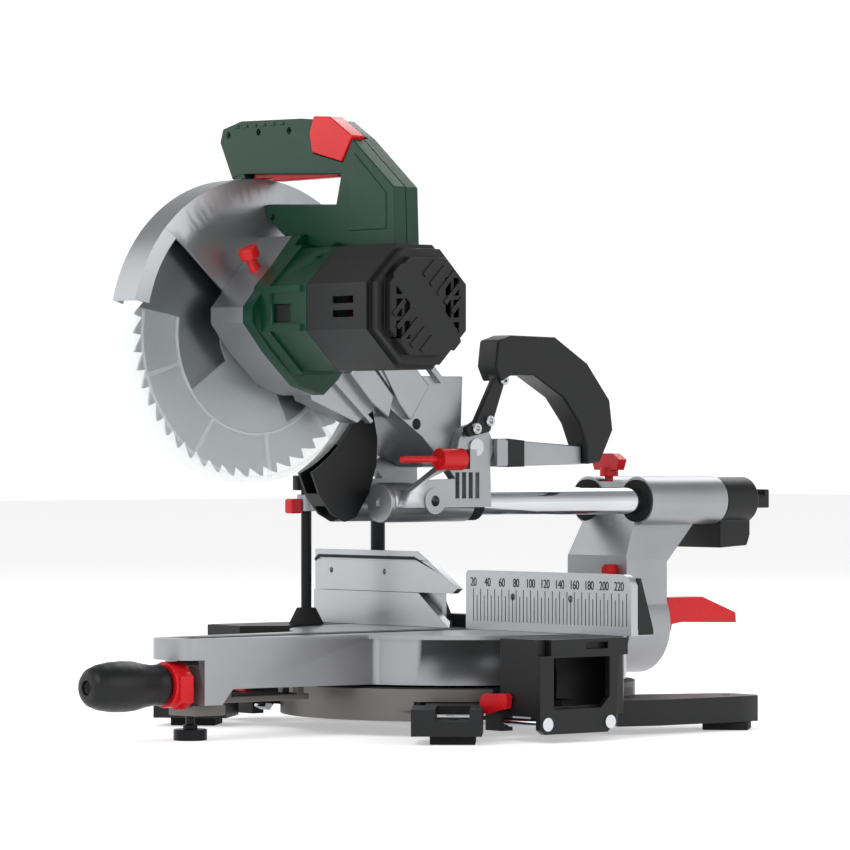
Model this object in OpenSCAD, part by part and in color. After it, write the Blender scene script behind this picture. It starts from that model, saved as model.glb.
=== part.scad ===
// Sliding compound mitre saw on its own low base, with four bench feet.
// Origin: the mitre axis where it meets the bench. +X is the operator's right, +Y the back, +Z up. Millimetres.

/* [Blade] */
// Diameter of the saw blade
blade_d = 254; // [210:1:260]
// Diameter of the blade's bore
blade_bore = 30; // [25:1:32]
// Width of the blade's carbide tips
kerf = 2.4; // [1.8:0.1:3.2]
// Number of blade teeth
blade_teeth = 48; // [24:2:80]

/* [Table and base] */
// Height of the table's top above the bench
table_z = 91; // [86:1:112]
// Radius of the round table
table_r = 155; // [140:1:170]
// Mitre axis to the front of the table's arm
arm_reach = 345; // [330:1:420]
// Middle of the saw to the outer face of an extension
wing_reach = 245; // [225:1:300]
// Middle of the saw to a bench bolt, sideways
foot_x = 185; // [175:1:200]
// Middle of the saw to a bench bolt, front to back
foot_y = 165; // [158:1:190]
// Diameter of a bench bolt hole
bench_hole_d = 9; // [6:0.5:11]
// Wall of the table and base castings
casting_wall = 6; // [4:0.5:8]

/* [Fence] */
// Height of the right fence
fence_h = 55; // [40:1:70]
// Thickness of the fence plates
fence_t = 8; // [6:0.5:10]
// Middle of the saw to the end of the right fence
fence_reach = 236; // [215:1:260]

/* [Rails] */
// Diameter of a rail
rail_d = 25; // [20:0.5:28]
// Distance between the two rails
rail_gap = 69; // [64:1:76]
// Table top to the rails
rail_rise = 118; // [110:1:135]
// Travel of the carriage
travel = 195; // [120:1:200]

/* [Head] */
// Rails to the chop pivot
pivot_rise = 51; // [48:1:60]
// Diameter of the chop pivot shaft
pivot_d = 16; // [12:0.5:18]
// Chop pivot to the arbor, front to back
arbor_back = 219.6; // [210:0.1:240]
// Chop pivot up to the arbor
arbor_up = 100.3; // [90:0.1:110]
// Half width of the motor housing
motor_half = 54; // [50:0.5:58]
// Length of the handle's grip opening
grip_opening = 130; // [110:1:140]

/* [Clearances] */
// Gap all round a shaft that turns or slides in a bore
fit_gap = 0.05; // [0.02:0.01:0.1]
// Gap between faces of pieces that move past each other
move_gap = 0.5; // [0.3:0.1:1]

/* [Hidden] */
$fn = 96;
silver = "silver";
black = "#1c1c1e";
green = "#0a4a35";
red = "#c81e1e";
chrome = "#c8ccd0";

ring_r = table_r + 12;                    // outside of the base ring
lip_r = table_r + 3;                      // bright lip round the table's top
wing_in_r = lip_r + 3;                    // inside of the wings, clear of the lip
fence_z = table_z + 0.3;                  // underside of the fences
low_fence_z = table_z + 32;               // top of the lower left fence
high_fence_z = table_z + 71;              // top of the sliding left fence
rod_front_y = -108;                       // front extension rod
rod_back_y = -34;                         // rear extension rod
rod_z = 17;                               // extension rods above the bench
rod_r = 4;
rod_in_x = 22;                            // inner end of each rod
lever_x = 178;                            // pivot of a rod's cam lever
lever_y = -113.5;                         // face that the lever's hub runs on
lever_z = 33;
lever_hub_r = 9;
lever_pin_r = 4;
floor_z = 23;                             // underside of the base's floor
seat_z = 45;                              // top of the base's hub and wall
table_low_z = 46;                         // underside of the table and arm
mitre_bolt_r = 8;
knob_z = 50;                              // axis of the mitre knob
lock_rod_r = 5;
level_y = -(arm_reach - 31);              // levelling foot
level_r = 4;
bevel_z = table_z;                        // the bevel axis lies in the table's top
bevel_bolt_r = 10;
bolt_head_r = 16;
trunnion_y = 171;                         // back face of the table's trunnion
support_y = 172;                          // front face of the rail support
house_y = 192;                            // front of the rail housing
house_len = 98;
rail_r = rail_d / 2;
rail_x = rail_gap / 2;
rail_z = table_z + rail_rise;
rail_front = -118;
rail_back = house_y + house_len + 8;
bearing_r = rail_r + 3.5;
house_r = rail_r + 10.5;
bumper_y = -26;                           // front face of the rubber bumper
bumper_wall = 4;
pivot_y = -30;
pivot_z = rail_z + pivot_rise;
pivot_r = pivot_d / 2;
arbor_y = pivot_y - arbor_back;
arbor_z = pivot_z + arbor_up;
guard_r = blade_d / 2 + 12.5;             // outside of the upper guard
low_guard_r = blade_d / 2 + 7;            // outside of the lower guard
gear_module = 1;
pinion_teeth = 12;
wheel_teeth = 34;
gear_centre = gear_module * (pinion_teeth + wheel_teeth) / 2;
motor_split = 140;                        // where the black end of the motor starts
flat_half = 20;                           // half of each flat of the motor housing
motor_angle = 65;                         // from the arbor up to the motor's axis
motor_y = arbor_y + gear_centre * cos(motor_angle);
motor_z = arbor_z + gear_centre * sin(motor_angle);
spindle_r = 8;
guard_hub_r = 28;                         // boss that the lower guard turns on
lock_angle = 25;                          // spindle lock, forward of straight up
ear_x = 47;                               // inner faces of the pivot ears
stop_x = ear_x + 22;                       // depth stop's screw
fence_knob_x = -128;
rib_end = -34;                            // inner end of the sliding fence's rib
fence_bolt_y = 19.8;
clamp_x = -166;
clamp_y = 38;
clamp_spindle_y = -50;
clamp_r = 7;
handle_y = -245;                          // front face of the main handle
handle_split = handle_y + 13.5;
handle_back = handle_y + 27;
handle_top = arbor_z + 191;
grip_low = handle_top - 46;
opening_low = handle_top - 78;

// ---------- shapes used by several pieces ----------

// A block from one corner to the opposite one
module block(low, high) {
    translate(low) cube(high - low);
}

// Round bars along the three axes
module rod_x(x0, x1, y, z, r) {
    translate([x0, y, z]) rotate([0, 90, 0]) cylinder(h = x1 - x0, r = r);
}
module rod_y(y0, y1, x, z, r) {
    translate([x, y0, z]) rotate([-90, 0, 0]) cylinder(h = y1 - y0, r = r);
}
module rod_z(z0, z1, x, y, r) {
    translate([x, y, z0]) cylinder(h = z1 - z0, r = r);
}

// A side view (Y, Z) made solid from x0 to x1
module side_plate(x0, x1) {
    translate([x0, 0, 0]) rotate([90, 0, 90]) linear_extrude(x1 - x0) children();
}

// A front view (X, Z) made solid from y0 to y1
module front_plate(y0, y1) {
    translate([0, y1, 0]) rotate([90, 0, 0]) linear_extrude(y1 - y0) children();
}

// A plan view (X, Y) made solid from z0 to z1
module plan_plate(z0, z1) {
    translate([0, 0, z0]) linear_extrude(z1 - z0) children();
}

// Children as drawn, and mirrored to the other side of the saw
module both_sides() {
    children();
    mirror([1, 0, 0]) children();
}

// Children at the arbor and at the motor's axis
module at_arbor() {
    translate([0, arbor_y, arbor_z]) children();
}
module at_motor() {
    translate([0, motor_y, motor_z]) children();
}

// Side view of a slice of a ring, between two angles measured from +Y towards +Z
function arc(r, a0, a1, n) = [for (i = [0:n]) r * [cos(a0 + (a1 - a0) * i / n),
    sin(a0 + (a1 - a0) * i / n)]];
module ring_slice(r0, r1, a0, a1) {
    polygon(concat(arc(r1, a0, a1, 36), arc(r0, a1, a0, 36)));
}

// A toothed wheel about +X: teeth narrow towards their tips
module toothed(r_root, r_tip, teeth, root_share, tip_share, turn) {
    step = 360 / teeth;
    polygon([for (i = [0:teeth - 1], p = [[-root_share, r_root], [-tip_share, r_tip],
        [tip_share, r_tip], [root_share, r_root]])
        p[1] * [cos(turn + step * (i + p[0])), sin(turn + step * (i + p[0]))]]);
}

// ---------- base ----------

leg_angle = atan2(foot_y, foot_x);
foot_out = norm([foot_x, foot_y]);

module front_leg() {
    rotate([0, 0, -leg_angle]) difference() {
        union() {
            block([table_r - 8, -26, floor_z], [foot_out - 30, 26, 31]);
            block([foot_out - 34, -36, 8], [foot_out + 35, 26, 31.5]);
        }
        block([foot_out - 40, -15, 21], [foot_out + 36, 15, 40]);
    }
}

module rear_leg() {
    plan_plate(8, 31.5) polygon([[120, 96], [150, 52], [196, 20], [208, 60], [foot_x + 27, foot_y - 10],
        [foot_x + 26, foot_y + 16], [foot_x + 14, foot_y + 26], [foot_x - 18, foot_y + 26],
            [foot_x - 32, foot_y + 8]]);
}

// Plan of a wing: it stays clear of the arm at full mitre and of the rail support behind
module wing_outline(grow) {
    polygon([[152 - grow, -62], [188 - grow, -113 - grow], [wing_reach - 7 + grow, -113 - grow],
        [wing_reach - 7 + grow, -12 + grow], [198 + grow * 0.5, 26 + grow],
            [170 + grow * 0.5, 46 + grow], [148, 58 + grow]]);
}

module wing() {
    difference() {
        plan_plate(floor_z, table_z) wing_outline(0);
        difference() {
            translate([0, 0, -casting_wall]) plan_plate(floor_z, table_z) wing_outline(-5);
            rod_z(0, table_z, 0, 0, wing_in_r + 5);
        }
        block([200, -100, 32], [wing_reach, -22, table_z - 14]);
        block([wing_reach - 20, -104, table_z - 15.4], [wing_reach, -11, table_z + 1]);
        rod_z(table_low_z - 2, table_z + 1, 0, 0, wing_in_r);
        rod_z(0, seat_z, 0, 0, table_r - 4);
    }
}

module rod_guides() {
    block([wing_reach - 77, rod_front_y - 5, 9], [wing_reach - 55, rod_front_y + 8, 34]);
    block([table_r - 7, rod_back_y - 8, 9], [wing_reach - 55, rod_back_y + 8, 34]);
}

module base_frame() {
    color(black) difference() {
        union() {
            difference() {
                rod_z(floor_z, seat_z - 1, 0, 0, ring_r - 4);
                rod_z(floor_z + casting_wall, seat_z, 0, 0, table_r - 8);
            }
            rod_z(floor_z, seat_z, 0, 0, 34);
            for (a = [0:60:300]) rotate([0, 0, a]) block([30, -3, floor_z], [table_r - 6, 3, 40]);
            both_sides() {
                wing();
                front_leg();
                rear_leg();
                rod_guides();
            }
            // pocket for the hold-down clamp's post
            rod_z(30, table_z, clamp_x, clamp_y, clamp_r + 5);
        }
        rod_z(0, seat_z + 1, 0, 0, mitre_bolt_r + fit_gap);
        rod_z(table_low_z - 2, table_z + 1, 0, 0, wing_in_r);
        rod_z(31, table_z + 1, clamp_x, clamp_y, clamp_r + fit_gap);
        both_sides() {
            for (y = [-foot_y, foot_y]) rod_z(7, 32, foot_x, y, bench_hole_d / 2);
            rod_x(140, wing_reach, rod_front_y, rod_z, rod_r + fit_gap);
            rod_x(100, wing_reach, rod_back_y, rod_z, rod_r + fit_gap);
            rod_x(wing_reach - 72, wing_reach - 60, rod_front_y, rod_z, rod_r + fit_gap);
            rod_z(table_z - 20, table_z + 1, 186, fence_bolt_y, 3.5);
            rod_y(lever_y - 6, lever_y + 13.5, lever_x, lever_z, lever_pin_r + fit_gap);
            rod_y(lever_y - 14, lever_y + 0.3, lever_x, lever_z, lever_hub_r + move_gap);
        }
    }
}

module mitre_scale_ring() {
    color("#5b5a57") difference() {
        rotate([0, 0, -150]) rotate_extrude(angle = 120)
            polygon([[ring_r - 3.95, 14], [ring_r, 14], [ring_r, seat_z - 2], [ring_r - 3.95, seat_z - 2]]);
        both_sides() {
            rotate([0, 0, -leg_angle]) block([table_r - 8, -37, 0], [foot_out, 37, 31.6]);
            plan_plate(0, table_z) wing_outline(0.1);
        }
    }
}

module foot_pad(y) {
    difference() {
        union() {
            translate([foot_x, y, 0]) rotate([0, 0, y < 0 ? -leg_angle : leg_angle]) block([-20, -20, 0],
                [22, 20, 8]);
        }
        rod_z(-1, 9, foot_x, y, bench_hole_d / 2);
    }
}

module foot_pads() {
    color("#111111") both_sides() {
        foot_pad(-foot_y);
        foot_pad(foot_y);
    }
}

module table_pivot_bolt() {
    color(chrome) {
        rod_z(10, table_z - 30, 0, 0, mitre_bolt_r);
        translate([0, 0, 10]) cylinder(h = floor_z - 10, r = 13, $fn = 6);
        rod_z(table_z - 34, table_z - 26, 0, 0, 12.5);
    }
}

// ---------- extensions ----------

module extension() {
    color(black) difference() {
        union() {
            end_frame();
            block([wing_reach - 19, -103, table_z - 15], [wing_reach, -12, table_z]);
        }
        // finger pocket in the top plate's outer edge
        block([wing_reach - 6, -62, table_z - 9], [wing_reach + 1, -36, table_z - 3]);
        for (y = [rod_front_y, rod_back_y]) rod_x(wing_reach - 10, wing_reach + 1, y, rod_z, rod_r);
    }
}

// The upright frame at the extension's end
module end_frame() {
    side_plate(wing_reach - 6, wing_reach) difference() {
        polygon([[-116, 12], [-110, 8], [-36, 8], [-26, 18], [-22, table_z - 14], [-22, table_z - 1],
            [-103, table_z - 1], [-103, table_z - 14], [-116, table_z - 14]]);
        polygon([[-100, 30], [-44, 30], [-34, 40], [-34, table_z - 16], [-100, table_z - 16]]);
    }
}

module rods() {
    color(chrome) for (y = [rod_front_y, rod_back_y]) {
        rod_x(y == rod_front_y ? 150 : rod_in_x, wing_reach, y, rod_z, rod_r);
        rod_x(wing_reach, wing_reach + 1.5, y, rod_z, rod_r + 2);
    }
}

module right_extension() { extension(); }
module left_extension() { mirror([1, 0, 0]) extension(); }
module right_rods() { rods(); }
module left_rods() { mirror([1, 0, 0]) rods(); }

// Red cam lever that clamps the rods, on a stub through the wing's front wall
module rod_lever() {
    color(red) {
        rod_y(lever_y - 7.5, lever_y, lever_x, lever_z, lever_hub_r);
        rod_y(lever_y - 0.5, lever_y + 10.5, lever_x, lever_z, lever_pin_r);
        front_plate(-121, -114) polygon([[175, 41.5], [203, 43], [206, 40], [204, 30], [180, 25]]);
    }
}
module right_rod_lever() { rod_lever(); }
module left_rod_lever() { mirror([1, 0, 0]) rod_lever(); }

// ---------- fences ----------

module right_fence() {
    color(silver) difference() {
        union() {
            front_plate(0, fence_t) polygon([[9, fence_z], [fence_reach, fence_z],
                [fence_reach, table_z + fence_h - 10],
                [fence_reach - 3, table_z + fence_h - 3], [fence_reach - 10, table_z + fence_h],
                    [12, table_z + fence_h], [9, table_z + fence_h - 3]]);
            block([30, fence_t - 1, fence_z], [fence_reach, 26, fence_z + 6]);
            for (x = [70, 120, 160, fence_reach - 6]) side_plate(x, x + 5)
                polygon([[fence_t - 1, fence_z], [24, fence_z], [24, fence_z + 8],
                    [fence_t + 1, table_z + fence_h - 8], [fence_t - 1, table_z + fence_h - 8]]);
        }
        // the inner end leans back so that the blade passes at full mitre
        plan_plate(0, 300) polygon([[8, 0], [-20, -1], [-20, 60], [75, 60]]);
        for (x = [75.5, 154.7]) rod_y(-1, fence_t + 1, x, table_z + 31.5, 3.25);
        rod_z(fence_z - 1, fence_z + 7, 186, fence_bolt_y, 3.5);
    }
}

module left_fence() {
    color(silver) difference() {
        union() {
            front_plate(0, fence_t) polygon([[-217, fence_z], [-16, fence_z], [-60, low_fence_z],
                [-217, low_fence_z]]);
            block([-217, fence_t - 1, fence_z], [-40, 26, fence_z + 6]);
            // bracket of the fence knob
            block([fence_knob_x - 10, 20, fence_z], [fence_knob_x + 10, 26, fence_z + 30]);
        }
        plan_plate(0, 300) polygon([[-15, 0], [20, -1], [20, 60], [-75, 60]]);
        rod_y(19, 27, fence_knob_x, fence_z + 20, 3 + fit_gap);
        rod_z(fence_z - 1, fence_z + 7, -186, fence_bolt_y, 3.5);
        // the rib of the sliding fence passes here
        block([-218, fence_t - 0.6, fence_z + 6.4], [-30, fence_t + 0.1, low_fence_z + 1]);
    }
}

module upper_fence() {
    color(silver) difference() {
        union() {
            front_plate(0, fence_t - 1) polygon([[-215, low_fence_z + 0.4], [-10, low_fence_z + 0.4],
                [-3, table_z + 37], [-60, high_fence_z], [-215, high_fence_z]]);
            front_plate(fence_t, fence_t + 5) polygon([[-210, fence_z + 8], [rib_end, fence_z + 8],
                [rib_end, low_fence_z + 14], [-210, low_fence_z + 14]]);
            front_plate(fence_t - 1.5, fence_t + 0.5) polygon([[-210, low_fence_z + 0.4],
                [rib_end, low_fence_z + 0.4], [rib_end, low_fence_z + 14], [-210, low_fence_z + 14]]);
        }
        for (x = [-190, -110]) rod_y(-1, fence_t + 6, x, table_z + 51, 2.6);
        front_plate(-1, 0.8) polygon([[-216, table_z + 61.4], [-40, table_z + 61.4],
            [-40, table_z + 62.6], [-216, table_z + 62.6]]);
    }
}

module fence_knob() {
    color(black) {
        rod_y(fence_t + 5.4, 27, fence_knob_x, fence_z + 20, 3);
        rod_y(26.4, 40, fence_knob_x, fence_z + 20, 11);
        for (a = [0:60:300]) translate([fence_knob_x, 0, fence_z + 20]) rotate([0, a, 0]) rod_y(28, 40,
            10, 0, 3);
    }
}

module fence_bridge() {
    color(black) difference() {
        union() {
            block([-74, 26.2, fence_z], [74, 42, fence_z + 12]);
            side_plate(-74, -54) polygon([[26.2, fence_z], [42, fence_z], [30, fence_z + 24],
                [26.2, fence_z + 24]]);
        }
        rod_z(0, 300, 0, 0, 34);
    }
}

module fence_bolts() {
    color("#2a2a2c") both_sides() difference() {
        union() {
            rod_z(table_z - 12, fence_z + 7, 186, fence_bolt_y, 3.4);
            rod_z(fence_z + 6, fence_z + 11, 186, fence_bolt_y, 6);
        }
        translate([186, fence_bolt_y, fence_z + 8]) cylinder(h = 4, r = 3, $fn = 6);
    }
}

// ---------- hold-down clamp ----------

module clamp_post() {
    color("#2a2a2c") rod_z(32, table_z + 124, clamp_x, clamp_y, clamp_r);
}

module clamp_arm() {
    color(black) difference() {
        union() {
            rod_z(table_z + 106, table_z + 123, clamp_x, clamp_y, 11);
            block([clamp_x - 6, clamp_spindle_y, table_z + 110], [clamp_x + 6, clamp_y, table_z + 122]);
            rod_z(table_z + 108, table_z + 124, clamp_x, clamp_spindle_y, 9);
        }
        rod_z(table_z + 100, table_z + 130, clamp_x, clamp_y, clamp_r + fit_gap);
        rod_z(table_z + 100, table_z + 130, clamp_x, clamp_spindle_y, 5 + fit_gap);
    }
}

module clamp_screw() {
    color(silver) {
        rod_z(table_z + 12, table_z + 132, clamp_x, clamp_spindle_y, 5);
        difference() {
            rod_z(table_z + 128, table_z + 142, clamp_x, clamp_spindle_y, 13);
            for (a = [0:60:300]) rotate_about(clamp_x, clamp_spindle_y, a) rod_z(table_z + 120,
                table_z + 150, 16, 0, 5);
        }
    }
}

module rotate_about(x, y, a) {
    translate([x, y, 0]) rotate([0, 0, a]) children();
}

module clamp_pad() {
    color(black) difference() {
        translate([clamp_x, clamp_spindle_y, table_z + 0.6]) cylinder(h = 16, r1 = 17, r2 = 9);
        rod_z(table_z + 12, table_z + 20, clamp_x, clamp_spindle_y, 5);
    }
}

// ---------- turntable and its arm ----------

arm_deep_y = -(arm_reach - 43);
arm_face_y = -(arm_reach - 25);

module arm_outline(inset) {
    polygon(concat([[50 - inset, -120], [50 - inset, -146], [28 - inset, -(arm_reach - 16)]],
        [for (a = [-20:-20:-160]) (28 - inset) * [cos(a), 0.55 * sin(a)] + [0, -(arm_reach - 16)]],
        [[-28 + inset, -(arm_reach - 16)], [-50 + inset, -146], [-50 + inset, -120]]));
}

// Side view of the arm: deeper at the front, cut back below for the red collar
module arm_side() {
    polygon([[-100, table_low_z], [arm_deep_y + 11, table_low_z], [arm_deep_y, 32], [arm_face_y, 32],
        [arm_face_y, knob_z + 22], [-arm_reach - 5, knob_z + 22], [-arm_reach - 5, table_z],
            [-100, table_z]]);
}

module turntable() {
    color(silver) difference() {
        union() {
            rod_z(table_low_z, table_z, 0, 0, table_r);
            rod_z(table_z - 4, table_z, 0, 0, lip_r);
            intersection() {
                plan_plate(20, table_z) arm_outline(0);
                side_plate(-60, 60) arm_side();
            }
            block([-38, 120, table_low_z], [38, trunnion_y, bevel_z]);
            rod_y(152, trunnion_y, 0, bevel_z, 38);
        }
        difference() {
            rod_z(table_low_z - 1, table_z - casting_wall, 0, 0, table_r - casting_wall);
            rod_z(table_low_z - 2, table_z, 0, 0, 30);
            block([-20, -160, table_z - 28], [28, 26, table_z]);
            block([-38, 120, table_low_z - 1], [38, 160, table_z]);
        }
        // hollow underside of the arm
        difference() {
            intersection() {
                plan_plate(20, table_z - casting_wall) arm_outline(5);
                block([-60, arm_deep_y + 16, 20], [60, -143, table_z]);
            }
            block([-20, -400, table_z - 28], [28, 0, table_z]);
        }
        // kerf slot, its insert and the channel a tilted blade needs
        block([-22, -(arm_reach - 17), table_z - 4.2], [22, 10, table_z + 1]);
        block([-12, -(arm_reach - 23), table_z - 24], [20, 18, table_z]);
        rod_z(table_low_z - 2, table_z - 20, 0, 0, mitre_bolt_r + fit_gap);
        rod_z(table_z - 34.5, table_z - 20, 0, 0, 13);
        rod_y(115, trunnion_y + 1, 0, bevel_z, bevel_bolt_r + fit_gap);
        rod_y(104, 120.5, 0, bevel_z, bolt_head_r + move_gap);
        rod_y(-arm_reach, -130, 0, knob_z, lock_rod_r + fit_gap);
        rod_z(20, knob_z - lock_rod_r, 0, level_y, level_r + fit_gap);
    }
}

module kerf_insert() {
    color("#232325") difference() {
        block([-21.8, -(arm_reach - 17.3), table_z - 4], [21.8, 9.5, table_z - 0.2]);
        block([-3.5, -(arm_reach - 24), table_z - 5], [9, 6, table_z + 1]);
        for (y = [-300, -170, -40], x = [-16, 16]) rod_z(table_z - 1.8, table_z + 1, x, y, 3);
    }
}

// Steel strap and lug below the front of the arm, carrying the levelling foot
module arm_strap() {
    color("#55565a") difference() {
        union() {
            block([-18, -(arm_reach - 20.5), 22], [18, arm_deep_y + 14, 31.8]);
            block([-14, arm_deep_y + 10, 32.5], [14, -190, 38]);
            block([-14, arm_deep_y + 6, 28], [14, arm_deep_y + 14, 38]);
            for (y = [-200, arm_deep_y + 20], x = [-14, 7]) block([x, y - 4, 36],
                [x + 7, y + 4, table_low_z]);
        }
        rod_z(20, 40, 0, level_y, level_r + fit_gap);
    }
}

module mitre_knob() {
    color(black) difference() {
        translate([0, -arm_reach, knob_z]) rotate([90, 0, 0]) rotate_extrude() polygon([[0, 1],
            [17, 1], [18.5, 4], [18, 12],
            [19.5, 22], [22, 34], [22.5, 45], [22, 58], [20, 70], [17, 78], [13, 82], [7, 83],
                [6, 79], [0, 78]]);
        rod_y(-(arm_reach + 60), -arm_reach, 0, knob_z, lock_rod_r);
    }
}

module lock_rod() {
    color(chrome) rod_y(-(arm_reach + 59.5), -172, 0, knob_z, lock_rod_r);
}

module detent_collar() {
    color(red) difference() {
        union() {
            rod_y(-(arm_reach - 1), -(arm_reach - 19), 0, knob_z, 20.5);
            front_plate(-(arm_reach - 3), -(arm_reach - 17)) polygon([[10, knob_z - 22],
                [24, knob_z - 15], [24, knob_z + 8], [18, knob_z + 12]]);
        }
        rod_y(-arm_reach, -(arm_reach - 30), 0, knob_z, lock_rod_r + fit_gap);
        rod_y(-arm_reach, -(arm_reach - 7), 0, knob_z, 15);
    }
}

module levelling_foot() {
    color("#1a1a1a") {
        rod_z(0, 10, 0, level_y, 15);
        rod_z(9, 14, 0, level_y, 6.5);
        rod_z(13, 36, 0, level_y, level_r);
    }
}

// ---------- rail support, tilting about the bevel axis ----------

module rail_support() {
    color(silver) difference() {
        union() {
            intersection() {
                side_plate(-60, 60) polygon([[support_y, 30], [support_y + 52, 30],
                    [support_y + 52, bevel_z + 60],
                    [house_y + house_len - 22, rail_z - 18], [house_y + house_len - 22, rail_z],
                        [house_y + 4, rail_z],
                    [support_y + 12, rail_z - 26], [support_y, bevel_z + 66]]);
                front_plate(support_y - 1, 320) union() {
                    translate([0, bevel_z]) circle(r = 47);
                    polygon([[-42, bevel_z], [42, bevel_z], [42, bevel_z + 62],
                        [rail_x + 2, rail_z - 20], [rail_x + 2, rail_z],
                        [-rail_x - 2, rail_z], [-rail_x - 2, rail_z - 20], [-42, bevel_z + 62]]);
                }
            }
            for (s = [-1, 1]) rod_y(house_y, house_y + house_len, s * rail_x, rail_z, house_r);
            block([-rail_x, house_y, rail_z - 19], [rail_x, house_y + house_len, rail_z + 18]);
        }
        for (s = [-1, 1]) {
            rod_y(house_y - 30, house_y + house_len + 1, s * rail_x, rail_z, bearing_r);
            rod_y(house_y - 30, house_y + 5, s * rail_x, rail_z, bearing_r + 4);
        }
        rod_y(support_y - 1, support_y + 60, 0, bevel_z, bevel_bolt_r + fit_gap);
        // hollow back of the support and the space between the rails
        block([-30, support_y + 8, bevel_z + 16], [30, support_y + 60, bevel_z + 56]);
        block([-14, house_y - 1, rail_z - 8], [14, house_y + house_len + 1, rail_z + 12]);
        rod_z(rail_z + 10, rail_z + 40, -18, house_y + 12, 4 + fit_gap);
        rod_y(support_y - 1, support_y + 9, 23, table_z + 52, 4);
    }
}

module rail_bearings() {
    color("#8a6a35") for (s = [-1, 1], y = [house_y + 8, house_y + house_len - 32]) difference() {
        rod_y(y, y + 28, s * rail_x, rail_z, bearing_r);
        rod_y(y - 1, y + 29, s * rail_x, rail_z, rail_r + fit_gap);
    }
}

module rail_seals() {
    color("#141414") for (s = [-1, 1]) difference() {
        rod_y(house_y - 3, house_y + 5, s * rail_x, rail_z, bearing_r + 4);
        rod_y(house_y - 4, house_y + 6, s * rail_x, rail_z, rail_r + 0.1);
    }
}

module slide_lock_knob() {
    color(red) {
        rod_z(rail_z + 13, rail_z + house_r + 4, -18, house_y + 12, 4);
        rod_z(rail_z + house_r, rail_z + house_r + 9, -18, house_y + 12, 9);
        front_plate(house_y + 7, house_y + 17) polygon([[-34, rail_z + house_r + 6],
            [-2, rail_z + house_r + 6],
            [2, rail_z + house_r + 16], [-8, rail_z + house_r + 22], [-28, rail_z + house_r + 22],
                [-38, rail_z + house_r + 16]]);
    }
}

module bevel_bolt() {
    color(chrome) {
        rod_y(118, support_y + 72, 0, bevel_z, bevel_bolt_r);
        rod_y(110, 119, 0, bevel_z, bolt_head_r);
    }
}

module bevel_lever() {
    color(red) difference() {
        union() {
            rod_y(support_y + 52.5, support_y + 82, 0, bevel_z, 17);
            side_plate(-11, 11) polygon([[support_y + 60, bevel_z - 6],
                [support_y + 84, bevel_z + 24], [support_y + 128, bevel_z + 24],
                [support_y + 172, bevel_z + 8], [support_y + 173, bevel_z - 2],
                    [support_y + 100, bevel_z]]);
        }
        rod_y(support_y + 50, support_y + 72.2, 0, bevel_z, bevel_bolt_r + fit_gap);
    }
}

module bevel_stop_pin() {
    color(red) {
        rod_y(support_y, support_y + 8, 23, table_z + 52, 4);
        rod_y(support_y - 10, support_y, 23, table_z + 52, 6);
    }
}

// ---------- carriage on its rails ----------

module rails() {
    color(chrome) for (s = [-1, 1]) difference() {
        rod_y(rail_front, rail_back, s * rail_x, rail_z, rail_r);
        rod_y(rail_front - 1, rail_back + 1, s * rail_x, rail_z, rail_r - 3);
    }
}

module carriage() {
    color(silver) difference() {
        union() {
            for (s = [-1, 1]) rod_y(rail_front - 2, -26, s * rail_x, rail_z, rail_r + 5);
            block([-rail_x, -60, rail_z - 14], [rail_x, -26, rail_z + 15]);
            for (s = [-1, 1]) side_plate(s > 0 ? ear_x : -ear_x - 11, s > 0 ? ear_x + 11 : -ear_x) union() {
                polygon([[-114, rail_z - 4], [-108, rail_z + 10], [-58, pivot_z - 10], [-45, pivot_z + 11],
                    [pivot_y, pivot_z + 12], [-13, pivot_z + 3], [-11, rail_z - 4]]);
                translate([pivot_y, pivot_z]) circle(r = 21);
            }
            for (s = [-1, 1]) block([s > 0 ? ear_x - 4 : -ear_x - 3, -58, rail_z + 4],
                [s > 0 ? ear_x + 3 : -ear_x + 4, -26.5, rail_z + 18]);
            rod_x(ear_x, ear_x + 12.5, -79.5, rail_z + 2, 12);
            // lug of the depth stop's screw
            block([ear_x + 10, -52, pivot_z - 20], [stop_x + 7, -44, pivot_z - 2]);
        }
        for (s = [-1, 1]) rod_y(rail_front - 3, 0, s * rail_x, rail_z, rail_r + fit_gap);
        for (s = [-1, 1]) rod_y(bumper_y, 0, s * rail_x, rail_z, rail_r + bumper_wall + move_gap);
        rod_x(-80, 80, pivot_y, pivot_z, pivot_r + fit_gap);
        rod_x(ear_x - 5, ear_x + 14, -79.5, rail_z + 2, 5);
        for (y = [-52, -44, -36, -28]) block([ear_x + 4, y - 2.5, rail_z + 4],
            [ear_x + 14, y + 2.5, rail_z + 28]);
        // window between the two rail bosses and the pivot
        side_plate(-80, 80) polygon([[-88, rail_z + 21], [-62, pivot_z - 20], [-54, rail_z + 22]]);
        rod_y(-53, -43, stop_x, pivot_z - 11, 3 + fit_gap);
    }
}

module rail_caps() {
    color("#b9bcc0") for (s = [-1, 1]) difference() {
        rod_y(rail_front - 7, rail_front - 2, s * rail_x, rail_z, rail_r + 5);
        rod_y(rail_front - 8, rail_front - 5, s * rail_x, rail_z, 4);
    }
}

module slide_bumper() {
    color("#161616") difference() {
        union() {
            for (s = [-1, 1]) rod_y(bumper_y, bumper_y + 14, s * rail_x, rail_z, rail_r + bumper_wall);
            block([-rail_x, bumper_y, rail_z - 9], [rail_x, bumper_y + 14, rail_z + 9]);
        }
        for (s = [-1, 1]) rod_y(bumper_y - 1, bumper_y + 15, s * rail_x, rail_z, rail_r + fit_gap);
    }
}

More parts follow.
